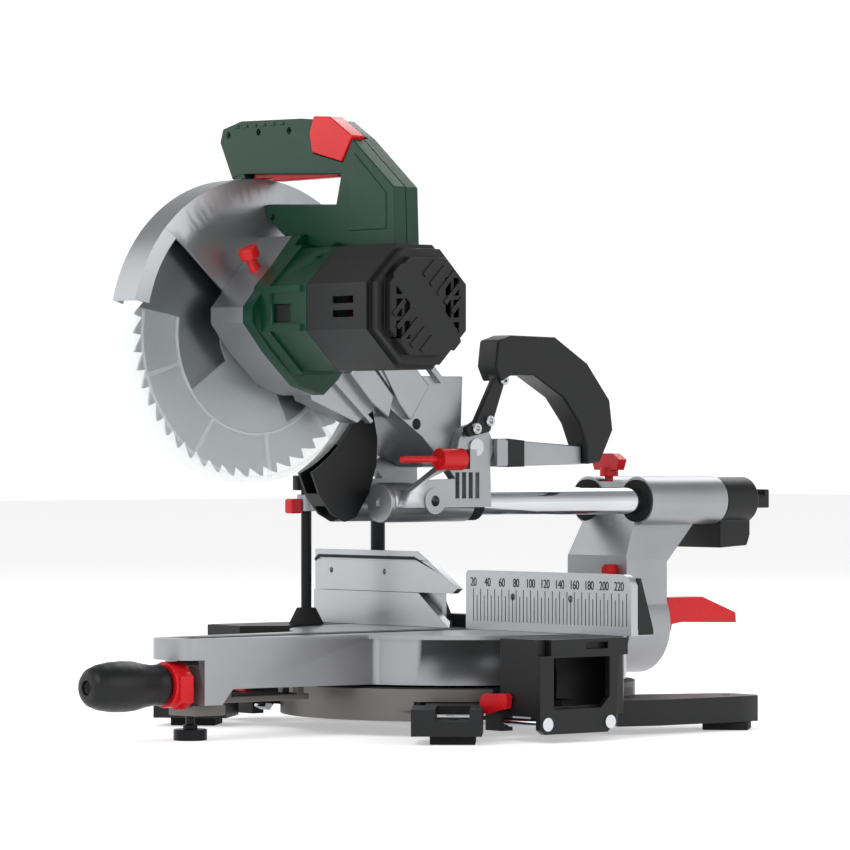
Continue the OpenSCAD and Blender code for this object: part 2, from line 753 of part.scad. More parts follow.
module rear_yoke() {
    y0 = house_y + house_len + 2;
    color(black) difference() {
        union() {
            for (s = [-1, 1]) rod_y(y0, y0 + 40, s * rail_x, rail_z, house_r - 1);
            block([-rail_x, y0, rail_z - 20], [rail_x, y0 + 40, rail_z + 18]);
            side_plate(-30, 44) polygon([[y0, rail_z - 46], [y0 + 36, rail_z - 44],
                [y0 + 40, rail_z - 34], [y0 + 40, rail_z - 10], [y0, rail_z - 10]]);
            block([20, y0 + 38, rail_z - 8], [44, y0 + 66, rail_z + 4]);
            block([20, y0 + 60, rail_z - 8], [44, y0 + 66, rail_z + 10]);
        }
        for (s = [-1, 1]) rod_y(y0 - 1, rail_back, s * rail_x, rail_z, rail_r);
    }
}

module pivot_shaft() {
    color(chrome) rod_x(-ear_x - 13, ear_x + 13, pivot_y, pivot_z, pivot_r);
}

// Red knob on the depth stop's screw
module depth_stop() {
    color(red) {
        rod_y(-84, -56, stop_x, pivot_z - 11, 10);
        rod_y(-128, -43, stop_x, pivot_z - 11, 3);
    }
}

// Black arch for carrying, bolted to the right pivot ear
module carry_handle() {
    color(black) {
        side_plate(44, 72) polygon([[-17, pivot_z + 74], [-14, pivot_z + 98], [2, pivot_z + 103],
            [56, pivot_z + 102], [96, pivot_z + 78],
            [124, pivot_z + 44], [128, pivot_z + 16], [112, pivot_z - 14], [96, pivot_z - 16],
                [95, pivot_z + 1.5],
            [86, pivot_z + 22], [66, pivot_z + 46], [30, pivot_z + 66], [2, pivot_z + 66],
                [-10, pivot_z + 60]]);
        side_plate(ear_x + 11.2, ear_x + 19) polygon([[-44, pivot_z + 9], [-18, pivot_z + 14],
            [2, pivot_z + 66], [-10, pivot_z + 70],
            [-36, pivot_z + 24], [-48, pivot_z + 18]]);
    }
}

module handle_arm() {
    color(silver) side_plate(ear_x + 1, ear_x + 17) polygon([[-8.8, pivot_z - 18], [95, pivot_z - 16],
        [94.8, pivot_z + 1], [-8.8, pivot_z + 8]]);
}

// ---------- head: chops about the pivot shaft ----------

module head_casting() {
    color(silver) difference() {
        union() {
            rod_x(-ear_x + move_gap, ear_x - move_gap, pivot_y, pivot_z, 19);
            // arm behind the guard
            side_plate(-40, ear_x - move_gap) translate([pivot_y, pivot_z])
                polygon([[-8, 17], [-6, 65], [-66, 65], [-74, 28], [-36, -8], [-10, -16], [10, -15],
                    [14, 10]]);
            // arm beside the guard, up to the gearbox
            side_plate(22, ear_x - move_gap) translate([pivot_y, pivot_z])
                polygon([[-6, 65], [-66, 65], [-150, 128], [-190, 60], [-183, 42], [-131, 22],
                    [-100, 40], [-40, 0]]);
            gearbox_outline(20.2, 66);
            at_arbor() rod_x(8.8, 21, 0, 0, guard_hub_r);
        }
        rod_x(-80, 80, pivot_y, pivot_z, pivot_r + fit_gap);
        rod_x(-28, 28, pivot_y, pivot_z, 14);
        // gear chamber, the spindle's and the rotor's bores
        at_arbor() {
            rod_x(33, 60, 0, 0, wheel_teeth * gear_module / 2 + 3);
            rod_x(0, 70, 0, 0, spindle_r + fit_gap);
        }
        at_motor() {
            rod_x(33, 60, 0, 0, pinion_teeth * gear_module / 2 + 3);
            rod_x(33, 67, 0, 0, 5 + fit_gap);
        }
        at_arbor() rotate([lock_angle, 0, 0]) rod_z(wheel_teeth / 2, 110, 45, 0, 5 + fit_gap);
        rod_x(30, 80, -91, pivot_z + 21, 5);
    }
}

// Gearbox casting, seen from the side
module gearbox_outline(x0, x1) {
    side_plate(x0, x1) translate([arbor_y, arbor_z]) gearbox_shape();
}
module gearbox_shape() {
    polygon([[-57, 9], [-57, 23], [-2, 87], [40, 87], [62, 60],
        [62, -10], [40, -40], [23, -54], [-4, -46], [-36, -16]]);
}

module return_spring() {
    coils = 9;
    color("#8b8d90") for (i = [0:coils - 1]) translate([-18 + i * 4, pivot_y, pivot_z]) rotate([0, 90, 0])
        rotate_extrude($fn = 48) translate([11.2, 0]) circle(r = 1.9, $fn = 16);
    color("#8b8d90") rod_x(-18, 14, pivot_y, pivot_z + 11.2, 1.2);
}

// A thin shell of revolution about the arbor, between two angles from +Y towards +Z
module guard_shell(a0, a1, profile) {
    rotate([90, 0, 90]) rotate([0, 0, a0]) rotate_extrude(angle = a1 - a0) polygon(profile);
}

module upper_guard() {
    r = guard_r;
    color(silver) at_arbor() {
        guard_shell(35, 138, [[guard_hub_r + 4, 20], [r - 27, 20], [r, 15.6], [r, -18], [r - 27, -30],
            [r - 52, -30],
            [r - 52, -27], [r - 27, -27], [r - 3, -15.6], [r - 3, 12.8], [r - 27, 17],
                [guard_hub_r + 4, 17]]);
        guard_shell(137.9, 168, [[r - 14, 17.8], [r, 15.6], [r, -18], [r - 14, -24], [r - 14, -20.6],
            [r - 3, -15.6],
            [r - 3, 12.8], [r - 14, 14.8]]);
    }
}

module dust_chute() {
    color("#131313") difference() {
        side_plate(-14, 7.5) polygon([[-182, 238], [-172, 215], [-158, 199], [-143, 192], [-130, 196],
            [-115, 218], [-106, 244], [-105, 268], [-112, 300], [-150, 268]]);
        at_arbor() rod_x(-80, 80, 0, 0, guard_r + 1.2);
        side_plate(-11, 4.5) polygon([[-190, 240], [-152, 190], [-133, 190], [-110, 244], [-110, 262],
            [-150, 262]]);
    }
}

// The motor's eight-sided section
module octagon(half) {
    polygon([[-half, -flat_half], [-half, flat_half], [-flat_half, half], [flat_half, half],
        [half, flat_half], [half, -flat_half], [flat_half, -half], [-flat_half, -half]]);
}

module motor_duct() {
    side_plate(120, 128) polygon([[-30, motor_half - 8], [-12, motor_half + 4], [12, motor_half + 4],
        [12, motor_half - 8]]);
}
module motor_housing() {
    color(green) at_motor() difference() {
        union() {
            side_plate(66.2, motor_split) octagon(motor_half);
            // flange against the gearbox, and the step behind it
            translate([0, -motor_y + arbor_y, -motor_z + arbor_z]) side_plate(66.2, 80) gearbox_shape();
            side_plate(79, 92) octagon(motor_half + 3);
            // ridge along the front and a duct on top
            block([92, -motor_half - 3, -flat_half], [motor_split - 6, -motor_half + 2, -flat_half + 6]);
            block([92, -motor_half - 3, flat_half - 6], [motor_split - 6, -motor_half + 2, flat_half]);
            motor_duct();
        }
        side_plate(74, motor_split + 1) octagon(motor_half - 5);
        rod_x(60, 80, 0, 0, 10);
        // air inlet in the front face
        block([94, -motor_half - 4, -12], [118, -motor_half + 6, 4]);
    }
}

module motor_end_cap() {
    color(black) at_motor() difference() {
        union() {
            side_plate(motor_split + 0.1, 222) octagon(motor_half);
            side_plate(221, 232) octagon(motor_half - 4);
            side_plate(231, 240) octagon(motor_half - 12);
        }
        side_plate(motor_split - 1, 227) octagon(motor_half - 5);
        for (z = [-9, 3]) block([176, -motor_half - 1, z], [204, -motor_half + 6, z + 6]);
        for (y = [-32, -23, 23, 32], z = [-28, -9, 10]) block([220, y - 3, z], [241, y + 3, z + 15]);
        rod_x(226, 234, 0, 0, 5 + fit_gap);
    }
}

module motor_stator() {
    color("#7a7d80") at_motor() difference() {
        intersection() {
            rod_x(100, 165, 0, 0, motor_half - 2);
            side_plate(90, 170) octagon(motor_half - 5.05);
        }
        rod_x(99, 166, 0, 0, 28);
    }
}

module motor_rotor() {
    color("#b07a3c") at_motor() {
        rod_x(56, 233, 0, 0, 5);
        rod_x(100, 165, 0, 0, 27);
        rod_x(80, 92, 0, 0, 40);
        rod_x(185, 205, 0, 0, 14);
        side_plate(36, 57) toothed(gear_module * (pinion_teeth / 2 - 1.2),
            gear_module * (pinion_teeth / 2 + 0.75),
            pinion_teeth, 0.28, 0.1, motor_angle + 180 + 180 / pinion_teeth);
    }
}

// Main handle: a loop across the head, in a front and a rear shell
module handle_outline() {
    difference() {
        polygon([[-47, handle_top - 16], [-43, handle_top - 4], [-16, handle_top + 2],
            [70, handle_top], [113, handle_top - 4],
            [142, handle_top - 21], [200, handle_top - 66], [202, motor_z + motor_half],
                [70, motor_z + motor_half],
            [43, handle_top - 101], [-30, handle_top - 48]]);
        polygon([[-12, grip_low], [-12 + grip_opening + 9, grip_low - 6],
            [-12 + grip_opening + 2, opening_low],
            [16, opening_low + 4], [-2, opening_low + 18]]);
    }
}

module handle_front() {
    color(green) difference() {
        front_plate(handle_y, handle_split) handle_outline();
        handle_cuts();
        for (p = [[-34, handle_top - 10], [10, handle_top - 9], [54, handle_top - 10],
            [30, handle_top - 86], [150, handle_top - 84]])
            rod_y(handle_y - 1, handle_y + 5, p[0], p[1], 3.2);
    }
}

module handle_rear() {
    color(green) difference() {
        front_plate(handle_split + 0.05, handle_back) handle_outline();
        handle_cuts();
    }
}

// Space in the handle for the guard below it, the trigger and the lock-off button
module handle_cuts() {
    at_arbor() rod_x(-80, 21.2, 0, 0, guard_r + 1.2);
    // seats on the gearbox, on the motor's flange and step, and on its duct
    gearbox_outline(15, 80);
    at_motor() {
        side_plate(79, 92) octagon(motor_half + 3);
        motor_duct();
    }
    block([-8, handle_y + 6.5, grip_low - 8], [-14 + grip_opening, handle_back - 6.5, grip_low + 18]);
    front_plate(handle_y - 2, handle_y + 18.5) button_outline(0.5);
}

module button_outline(gap) {
    polygon([[84 - gap, handle_top - 14], [90 - gap, handle_top + 1], [113, handle_top - 0.5],
        [144, handle_top - 19],
        [129 + gap, handle_top - 41 - gap], [88 - gap, handle_top - 31 - gap]]);
}

module trigger() {
    color(red) difference() {
        block([-6, handle_y + 7, grip_low - 7.5], [-16 + grip_opening, handle_back - 7, grip_low + 8]);
        at_arbor() rod_x(-80, 21.2, 0, 0, guard_r + 1.2);
        // leaves the lock-off button its room when the trigger is pulled
        block([82, handle_y, grip_low - 0.5], [90 + grip_opening, handle_back, grip_low + 9]);
    }
}

module lock_off_button() {
    color(red) front_plate(handle_y - 1.5, handle_y + 14) button_outline(0);
}

module spindle_lock() {
    color(red) at_arbor() rotate([lock_angle, 0, 0]) {
        rod_z(wheel_teeth / 2 + 7, 75, 45, 0, 5);
        rod_z(74, 84, 45, 0, 9);
    }
}

// ---------- lower guard, blade and spindle ----------

module lower_guard() {
    color("#dfe6ea", 0.35) at_arbor() {
        difference() {
            side_plate(-14, 11.5) ring_slice(low_guard_r - 48, low_guard_r, 170, 340);
            side_plate(-12, 9.5) ring_slice(0, low_guard_r - 2, 160, 350);
        }
        difference() {
            side_plate(9.5, 11.5) union() {
                ring_slice(27, low_guard_r - 40, 215, 295);
                circle(r = 40);
            }
            rod_x(0, 20, 0, 0, guard_hub_r + fit_gap);
        }
    }
}

module blade() {
    tooth = 360 / blade_teeth;
    r = blade_d / 2;
    color("#a7abaf") at_arbor() difference() {
        side_plate(-kerf / 2, kerf / 2) polygon([for (i = [0:blade_teeth - 1], p = [[0, 0], [0.1, -9],
            [0.75, -2], [0.95, 0]])
            (r + p[1]) * [cos(tooth * (i + p[0])), sin(tooth * (i + p[0]))]]);
        rod_x(-5, 5, 0, 0, blade_bore / 2);
    }
}

module arbor_flanges() {
    color("#6d7074") at_arbor() {
        difference() {
            union() {
                rod_x(kerf / 2, 8, 0, 0, 25);
                rod_x(-kerf / 2, kerf / 2, 0, 0, blade_bore / 2);
            }
            rod_x(-10, 10, 0, 0, spindle_r);
        }
        difference() {
            rod_x(-7, -kerf / 2, 0, 0, 25);
            rod_x(-10, 0, 0, 0, spindle_r);
        }
    }
}

module spindle() {
    color(chrome) at_arbor() {
        rod_x(-8, 62, 0, 0, spindle_r);
        translate([-14, 0, 0]) rotate([0, 90, 0]) cylinder(h = 7, r = 10, $fn = 6);
        side_plate(37, 56) toothed(gear_module * (wheel_teeth / 2 - 1.2),
            gear_module * (wheel_teeth / 2 + 0.75),
            wheel_teeth, 0.28, 0.1, motor_angle);
    }
}

base_frame();
mitre_scale_ring();
foot_pads();
right_fence();
left_fence();
fence_bridge();
fence_bolts();
table_pivot_bolt();
upper_fence();
fence_knob();
right_extension();
left_extension();
right_rods();
left_rods();
right_rod_lever();
left_rod_lever();
clamp_arm();
clamp_screw();
turntable();
kerf_insert();
arm_strap();
mitre_knob();
lock_rod();
detent_collar();
levelling_foot();
rail_support();
rail_bearings();
rail_seals();
slide_lock_knob();
bevel_bolt();
bevel_lever();
bevel_stop_pin();
rails();
carriage();
rail_caps();
rear_yoke();
slide_bumper();
pivot_shaft();
depth_stop();
carry_handle();
handle_arm();
head_casting();
return_spring();
upper_guard();
dust_chute();
motor_housing();
motor_end_cap();
motor_stator();
motor_rotor();
handle_front();
handle_rear();
trigger();
lock_off_button();
spindle_lock();
lower_guard();
blade();
arbor_flanges();
spindle();
clamp_pad();
clamp_post();
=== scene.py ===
import math
import bmesh
import bpy
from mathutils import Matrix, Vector
from mathutils.bvhtree import BVHTree


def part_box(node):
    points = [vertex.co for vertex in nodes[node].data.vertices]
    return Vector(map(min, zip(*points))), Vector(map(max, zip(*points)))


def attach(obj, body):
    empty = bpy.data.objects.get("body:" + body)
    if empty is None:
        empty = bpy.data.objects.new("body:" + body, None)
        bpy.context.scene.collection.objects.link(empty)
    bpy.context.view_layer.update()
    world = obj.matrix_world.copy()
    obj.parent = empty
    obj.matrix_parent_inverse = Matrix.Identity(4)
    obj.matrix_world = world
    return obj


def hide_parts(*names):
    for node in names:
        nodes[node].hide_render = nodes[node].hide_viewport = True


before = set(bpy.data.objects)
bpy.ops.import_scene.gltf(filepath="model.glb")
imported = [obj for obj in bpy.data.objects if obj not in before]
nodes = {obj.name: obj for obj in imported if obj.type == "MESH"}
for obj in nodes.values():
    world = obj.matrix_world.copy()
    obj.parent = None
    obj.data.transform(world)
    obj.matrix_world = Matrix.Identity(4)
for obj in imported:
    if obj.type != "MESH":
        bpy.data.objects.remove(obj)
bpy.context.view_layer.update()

# Camera and studio. The camera stands to the saw's front right, a little above the bench, with a long lens.
# Three large soft lamps and a pale room light it, and the floor is a plain pale sheet at the bench's height.
camera = bpy.data.objects.new("camera", bpy.data.cameras.new("camera"))
bpy.context.scene.collection.objects.link(camera)
camera.data.lens = 200.3
camera.data.sensor_width = 36
camera.data.clip_end = 60
camera.location = (3.350, -2.853, 0.262)
camera_pitch = math.radians(90.242)
camera.rotation_euler = (camera_pitch, 0, math.radians(50))
bpy.context.scene.camera = camera


def linear(code):
    """An sRGB hex colour as linear RGBA."""
    parts = [int(code[i:i + 2], 16) / 255 for i in (1, 3, 5)]
    return [c / 12.92 if c <= 0.04045 else ((c + 0.055) / 1.055) ** 2.4 for c in parts] + [1]


def add_node(material, kind, settings=None, **links):
    """Adds a shader node. settings are its properties or socket values, links join sockets to other nodes' outputs."""
    new = material.node_tree.nodes.new(kind)
    for key, value in (settings or {}).items():
        if hasattr(new, key):
            setattr(new, key, value)
        else:
            new.inputs[key].default_value = value
    for key, (source, output) in links.items():
        name = key.replace("_", " ")
        socket = new.inputs[name] if name in new.inputs else new.inputs[int(key[1:])]
        material.node_tree.links.new(source.outputs[output], socket)
    return new


def start_material(name):
    """An empty material with a Principled shader joined to its output."""
    material = bpy.data.materials.new(name)
    material.use_nodes = True
    return material, material.node_tree.nodes["Principled BSDF"]


def join_up(material, shader, **links):
    """Links other nodes' outputs to the shader's sockets."""
    for key, (source, output) in links.items():
        material.node_tree.links.new(source.outputs[output], shader.inputs[key.replace("_", " ")])


for name, size, power, place, turn in (
    ("key_lamp", 2.4, 70, (1.0, -3.2, 2.9), (48, 0, 17)),
    ("side_lamp", 2.0, 30, (3.2, 0.9, 1.8), (62, 0, 106)),
    ("back_lamp", 2.2, 34, (-1.6, 2.6, 2.6), (-48, 0, 32)),
    ("left_lamp", 2.0, 16, (-2.8, -1.9, 1.6), (62, 0, -56)),
):
    lamp = bpy.data.objects.new(name, bpy.data.lights.new(name, "AREA"))
    lamp.data.size = size
    lamp.data.energy = power
    lamp.location = place
    lamp.rotation_euler = [math.radians(a) for a in turn]
    bpy.context.scene.collection.objects.link(lamp)
world = bpy.data.worlds.new("pale_room")
bpy.context.scene.world = world
world.use_nodes = True
room = world.node_tree.nodes["Background"]
aim = world.node_tree.nodes.new("ShaderNodeTexCoord")
height = world.node_tree.nodes.new("ShaderNodeSeparateXYZ")
shade = world.node_tree.nodes.new("ShaderNodeMapRange")
for key, value in (("From Min", 0.14), ("From Max", 0.6), ("To Min", 1.12), ("To Max", 0.42)):
    shade.inputs[key].default_value = value
world.node_tree.links.new(aim.outputs["Generated"], height.inputs["Vector"])
world.node_tree.links.new(height.outputs["Z"], shade.inputs["Value"])
world.node_tree.links.new(shade.outputs["Result"], room.inputs["Strength"])
room.inputs["Color"].default_value = linear("#fdfdfd")
bpy.context.scene.view_settings.view_transform = "Standard"
bpy.ops.object.select_all(action="DESELECT")
bpy.ops.mesh.primitive_plane_add(size=30, location=(0, 0, 0))
floor = bpy.context.object
floor.name = "floor"
pale_floor, shader = start_material("pale_studio_paper")
shader.inputs["Base Color"].default_value = linear("#f4f4f4")
shader.inputs["Roughness"].default_value = 0.9
shader.inputs["Emission Color"].default_value = linear("#ffffff")
shader.inputs["Emission Strength"].default_value = 0.42
floor.data.materials.append(pale_floor)


# Base casting. One iron casting, painted satin black over the sand-cast skin: a round floor with a wall,
# two wings that the fences stand on, and four legs. Its edges are broken by about a millimetre.
def textured(name, colour, rough, grain_mm, bump, metallic=0.0, wear=0.12, gleam=0.3):
    """A painted, moulded or blasted surface: its grain is a fine bump, and its gloss and tone drift slowly."""
    material, shader = start_material(name)
    place = add_node(material, "ShaderNodeTexCoord")
    grain = add_node(material, "ShaderNodeTexNoise", {"Scale": 1000 / grain_mm, "Detail": 3, "Roughness": 0.6},
                     Vector=(place, "Object"))
    drift = add_node(material, "ShaderNodeTexNoise", {"Scale": 14, "Detail": 4}, Vector=(place, "Object"))
    gloss = add_node(material, "ShaderNodeMapRange", {"To Min": rough - wear * 0.6, "To Max": rough + wear * 0.6},
                     Value=(drift, "Fac"))
    dark = [c * 0.86 for c in linear(colour)[:3]] + [1]
    light = [min(1, c * 1.14) for c in linear(colour)[:3]] + [1]
    tone = add_node(material, "ShaderNodeMix", {"data_type": "RGBA"}, Factor=(drift, "Fac"))
    tone.inputs[6].default_value = dark
    tone.inputs[7].default_value = light
    relief = add_node(material, "ShaderNodeBump", {"Strength": bump, "Distance": 0.0004}, Height=(grain, "Fac"))
    join_up(material, shader, Base_Color=(tone, 2), Roughness=(gloss, "Result"), Normal=(relief, "Normal"))
    shader.inputs["Metallic"].default_value = metallic
    shader.inputs["Specular IOR Level"].default_value = 0.5 if metallic else gleam
    return material


def spoiled_area(piece, sharp, edge):
    """The area of a rounded piece's triangles that left the sharp shape they came from, or turned over, in mm2."""
    sharp.calc_loop_triangles()
    sound = [tuple(t.vertices) for t in sharp.loop_triangles if t.area > 1e-9]
    shell = BVHTree.FromPolygons([v.co for v in sharp.vertices], sound)
    spoiled = 0
    piece.data.calc_loop_triangles()
    for triangle in piece.data.loop_triangles:
        centre = sum((piece.data.vertices[v].co for v in triangle.vertices), Vector()) / 3
        nearest = shell.find_nearest(centre)
        if nearest[3] > edge * 1.2 or nearest[1].dot(triangle.normal) < -0.2:
            spoiled += triangle.area * 1e6
    return spoiled


def mark_long_edges(piece, angle, shortest):
    """Gives a bevel weight to each sharp edge that is long enough to be rounded, which leaves small bores alone."""
    shape = bmesh.new()
    shape.from_mesh(piece.data)
    weight = shape.edges.layers.float.new("bevel_weight_edge")
    for edge in shape.edges:
        sharp = len(edge.link_faces) == 2 and edge.calc_face_angle(0) > angle
        edge[weight] = 1 if sharp and edge.calc_length() > shortest else 0
    shape.to_mesh(piece.data)
    shape.free()


def even_shading(piece):
    """Shades flat faces flat and rounded edges smoothly, and bakes that into the piece's normals."""
    bpy.ops.object.shade_smooth_by_angle(angle=math.radians(35))
    shading = piece.modifiers.new("even_shading", "WEIGHTED_NORMAL")
    shading.keep_sharp = True
    bpy.ops.object.modifier_apply(modifier=shading.name)


def finished(node, body, material, edge_mm, angle=28, name=None, segments=2, shortest_mm=0):
    """A merged copy of a CAD node with its edges rounded, which stands for the node and rides on its body."""
    source = nodes[node]
    piece = bpy.data.objects.new(name or node + "_finished", source.data.copy())
    bpy.context.scene.collection.objects.link(piece)
    piece.data.materials.clear()
    piece.data.materials.append(material)
    bpy.ops.object.select_all(action="DESELECT")
    piece.select_set(True)
    bpy.context.view_layer.objects.active = piece
    bpy.ops.object.mode_set(mode="EDIT")
    bpy.ops.mesh.select_all(action="SELECT")
    bpy.ops.mesh.remove_doubles(threshold=0.000004)
    bpy.ops.mesh.dissolve_limited(angle_limit=math.radians(0.1))
    bpy.ops.object.mode_set(mode="OBJECT")
    if shortest_mm:
        mark_long_edges(piece, math.radians(angle), shortest_mm / 1000)
    for share in (1, 0.6, 0.35, 0.2) if edge_mm else ():
        sharp = piece.data.copy()
        bevel = piece.modifiers.new("broken_edges", "BEVEL")
        bevel.width = edge_mm * share / 1000
        bevel.segments = segments
        bevel.limit_method = "WEIGHT" if shortest_mm else "ANGLE"
        bevel.angle_limit = math.radians(angle)
        bevel.use_clamp_overlap = False
        bpy.ops.object.modifier_apply(modifier=bevel.name)
        if spoiled_area(piece, source.data, edge_mm / 1000) < 25:
            break
        piece.data = sharp
    even_shading(piece)
    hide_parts(node)
    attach(piece, body)
    return piece


def bare(node, material):
    """A CAD node whose shape is already right gets its real material."""
    piece = nodes[node]
    piece.data.materials.clear()
    piece.data.materials.append(material)


def plate(name, outline, axis, low, high, material, body, edge_mm=0.8, segments=2, angle=30):
    """A flat outline in millimetres, thickened from low to high along an axis, with its edges rounded."""
    bpy.ops.object.select_all(action="DESELECT")
    bpy.ops.mesh.primitive_circle_add(vertices=len(outline), fill_type="NGON")
    piece = bpy.context.object
    piece.name = name
    for corner, (a, b) in zip(piece.data.vertices, outline):
        corner.co = Vector({"x": (low, a, b), "y": (a, low, b), "z": (a, b, low)}[axis]) / 1000
    bpy.ops.object.mode_set(mode="EDIT")
    bpy.ops.mesh.select_all(action="SELECT")
    rise = [(high - low) / 1000 if axis == letter else 0 for letter in "xyz"]
    bpy.ops.mesh.extrude_region_move(TRANSFORM_OT_translate={"value": rise})
    bpy.ops.mesh.select_all(action="SELECT")
    bpy.ops.mesh.normals_make_consistent(inside=False)
    bpy.ops.object.mode_set(mode="OBJECT")
    return rounded(piece, material, body, edge_mm, segments, angle)


def rounded(piece, material, body, edge_mm, segments=2, angle=30):
    """Rounds a new piece's edges, gives it its material and lets it ride on its body."""
    bpy.ops.object.transform_apply(location=True, rotation=True, scale=True)
    bevel = piece.modifiers.new("broken_edges", "BEVEL")
    bevel.width = edge_mm / 1000
    bevel.segments = segments
    bevel.limit_method = "ANGLE"
    bevel.angle_limit = math.radians(angle)
    bpy.ops.object.modifier_apply(modifier=bevel.name)
    even_shading(piece)
    piece.data.materials.clear()
    piece.data.materials.append(material)
    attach(piece, body)
    return piece


def screws(name, places, turn, radius, material, body, sides=6):
    """A group of round screw heads with a driver socket, one for each place. turn points their tops."""
    bpy.ops.object.select_all(action="DESELECT")
    bpy.ops.mesh.primitive_cylinder_add(vertices=32, radius=radius / 1000, depth=radius * 1.1 / 1000)
    first = bpy.context.object
    bpy.ops.object.mode_set(mode="EDIT")
    bpy.ops.mesh.select_all(action="DESELECT")
    shape = bmesh.from_edit_mesh(first.data)
    for face in shape.faces:
        face.select = face.normal.z > 0.9
    bmesh.update_edit_mesh(first.data)
    bpy.ops.mesh.inset(thickness=radius * 0.14 / 1000)
    bpy.ops.mesh.extrude_region_move(TRANSFORM_OT_translate={"value": (0, 0, radius * 0.12 / 1000)})
    bpy.ops.mesh.inset(thickness=radius * 0.36 / 1000)
    bpy.ops.mesh.extrude_region_move(TRANSFORM_OT_translate={"value": (0, 0, -radius * 0.6 / 1000)})
    bpy.ops.object.mode_set(mode="OBJECT")
    heads = [first]
    for place in places[1:]:
        copy = first.copy()
        copy.data = first.data.copy()
        bpy.context.scene.collection.objects.link(copy)
        heads.append(copy)
    for head, place in zip(heads, places):
        head.location = Vector(place) / 1000
        head.rotation_euler = [math.radians(a) for a in turn]
        head.select_set(True)
    bpy.context.view_layer.objects.active = first
    if len(heads) > 1:
        bpy.ops.object.join()
    first.name = name
    return rounded(first, material, body, 0.15, 1, 50)


black_iron = textured("satin_black_painted_cast_iron", "#131416", 0.42, 1.1, 0.35)
finished("base_frame", "base", black_iron, 1.2)
gunmetal = textured("gunmetal_enamel", "#6a6865", 0.38, 0.8, 0.2, metallic=0.5)
finished("mitre_scale_ring", "base", gunmetal, 0.5)
rubber = textured("moulded_rubber", "#161616", 0.8, 0.7, 0.5)
finished("foot_pads", "base", rubber, 1.0)
chrome = textured("hard_chrome", "#c9ccd0", 0.12, 3.0, 0.02, metallic=1.0, wear=0.08)
black_steel = textured("blackened_steel", "#1d1e20", 0.34, 0.5, 0.15, metallic=0.8)
bare("table_pivot_bolt", chrome)
bare("fence_bolts", black_steel)

# Fences. Die-cast aluminium with a face that a cutter has planed along its length.
aluminium = textured("die_cast_aluminium", "#9b9da0", 0.3, 0.55, 0.25, metallic=0.85)
planed, planed_shader = start_material("planed_aluminium")
place = add_node(planed, "ShaderNodeTexCoord")
along = add_node(planed, "ShaderNodeMapping", {"Scale": (12, 900, 900)}, Vector=(place, "Object"))
cutter = add_node(planed, "ShaderNodeTexNoise", {"Scale": 1.0, "Detail": 3}, Vector=(along, "Vector"))
streaks = add_node(planed, "ShaderNodeMapRange", {"To Min": 0.22, "To Max": 0.48}, Value=(cutter, "Fac"))
ridges = add_node(planed, "ShaderNodeBump", {"Strength": 0.12, "Distance": 0.0003}, Height=(cutter, "Fac"))
join_up(planed, planed_shader, Roughness=(streaks, "Result"), Normal=(ridges, "Normal"))
planed_shader.inputs["Base Color"].default_value = linear("#b2b4b7")
planed_shader.inputs["Metallic"].default_value = 0.9
for node, body in (("right_fence", "base"), ("left_fence", "base"), ("upper_fence", "sliding_fence")):
    finished(node, body, planed, 0.8)
# The black marking ink prints the fence's scale. The same black material also paints the shade of the upper fence's
# groove.
marking_ink_and_groove_shade = textured("black_marking_ink_and_painted_groove_shade", "#17181a", 0.6, 0.5, 0.05)


def joined(name, pieces, body):
    """Several flat marks as one piece on one body."""
    bpy.ops.object.select_all(action="DESELECT")
    for piece in pieces:
        piece.select_set(True)
    bpy.context.view_layer.objects.active = pieces[0]
    bpy.ops.object.join()
    pieces[0].name = name
    bpy.ops.object.transform_apply(location=True, rotation=True, scale=True)
    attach(pieces[0], body)
    return pieces[0]


fence_low, fence_high = [corner * 1000 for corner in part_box("right_fence")]
marks = []
for step in range(4, 47):
    at = step * 5
    top = fence_high.z - (17 if step % 2 == 0 else 23)
    bpy.ops.mesh.primitive_cube_add(size=1, location=(at / 1000, -0.0001, (top + fence_low.z + 8) / 2000))
    bpy.context.object.scale = (0.0005, 0.0003, (top - fence_low.z - 8) / 1000)
    bpy.context.object.data.materials.append(marking_ink_and_groove_shade)
    marks.append(bpy.context.object)
for number in range(20, 240, 20):
    bpy.ops.object.text_add(location=(number / 1000, -0.00015, (fence_high.z - 14.5) / 1000), rotation=(math.pi / 2, 0, 0))
    word = bpy.context.object
    word.data.body = str(number)
    word.data.size = 0.0115
    word.data.space_character = 0.95
    word.data.align_x = "CENTER"
    word.data.extrude = 0.0001
    bpy.ops.object.select_all(action="DESELECT")
    word.select_set(True)
    bpy.ops.object.convert(target="MESH")
    word = bpy.context.object
    word.scale.x = 0.78
    word.data.materials.append(marking_ink_and_groove_shade)
    marks.append(word)
joined("fence_scale", marks, "base")
black_abs = textured("grained_black_abs", "#0f1012", 0.38, 0.6, 0.4)
finished("fence_bridge", "base", black_abs, 0.8)
finished("fence_knob", "fence_knob", black_abs, 0.6)
plate("fence_end_brace", [(8.4, 92), (27, 92), (27, 97), (12, 143), (8.4, 143)], "x", 228.4, 236.4, black_abs, "base", 0.6)
# The upper fence's groove is not cut into the fence: a thin flat black strip on its face paints the groove's shade.
plate("upper_fence_groove_painted_shade", [(-216, 152.5), (-210, 157), (-66, 157), (-30, 142), (-64, 154), (-208, 154), (-214, 150)],
      "y", -0.25, 0.05, marking_ink_and_groove_shade, "sliding_fence", 0.02)

# Extensions, their steel rods and red cam levers.
red_nylon = textured("glossy_red_nylon", "#c3131b", 0.26, 1.5, 0.08)
for side in ("right", "left"):
    finished(side + "_extension", side + "_extension", black_abs, 1.0)
    bare(side + "_rods", chrome)
    finished(side + "_rod_lever", side + "_rod_lever", red_nylon, 0.8)

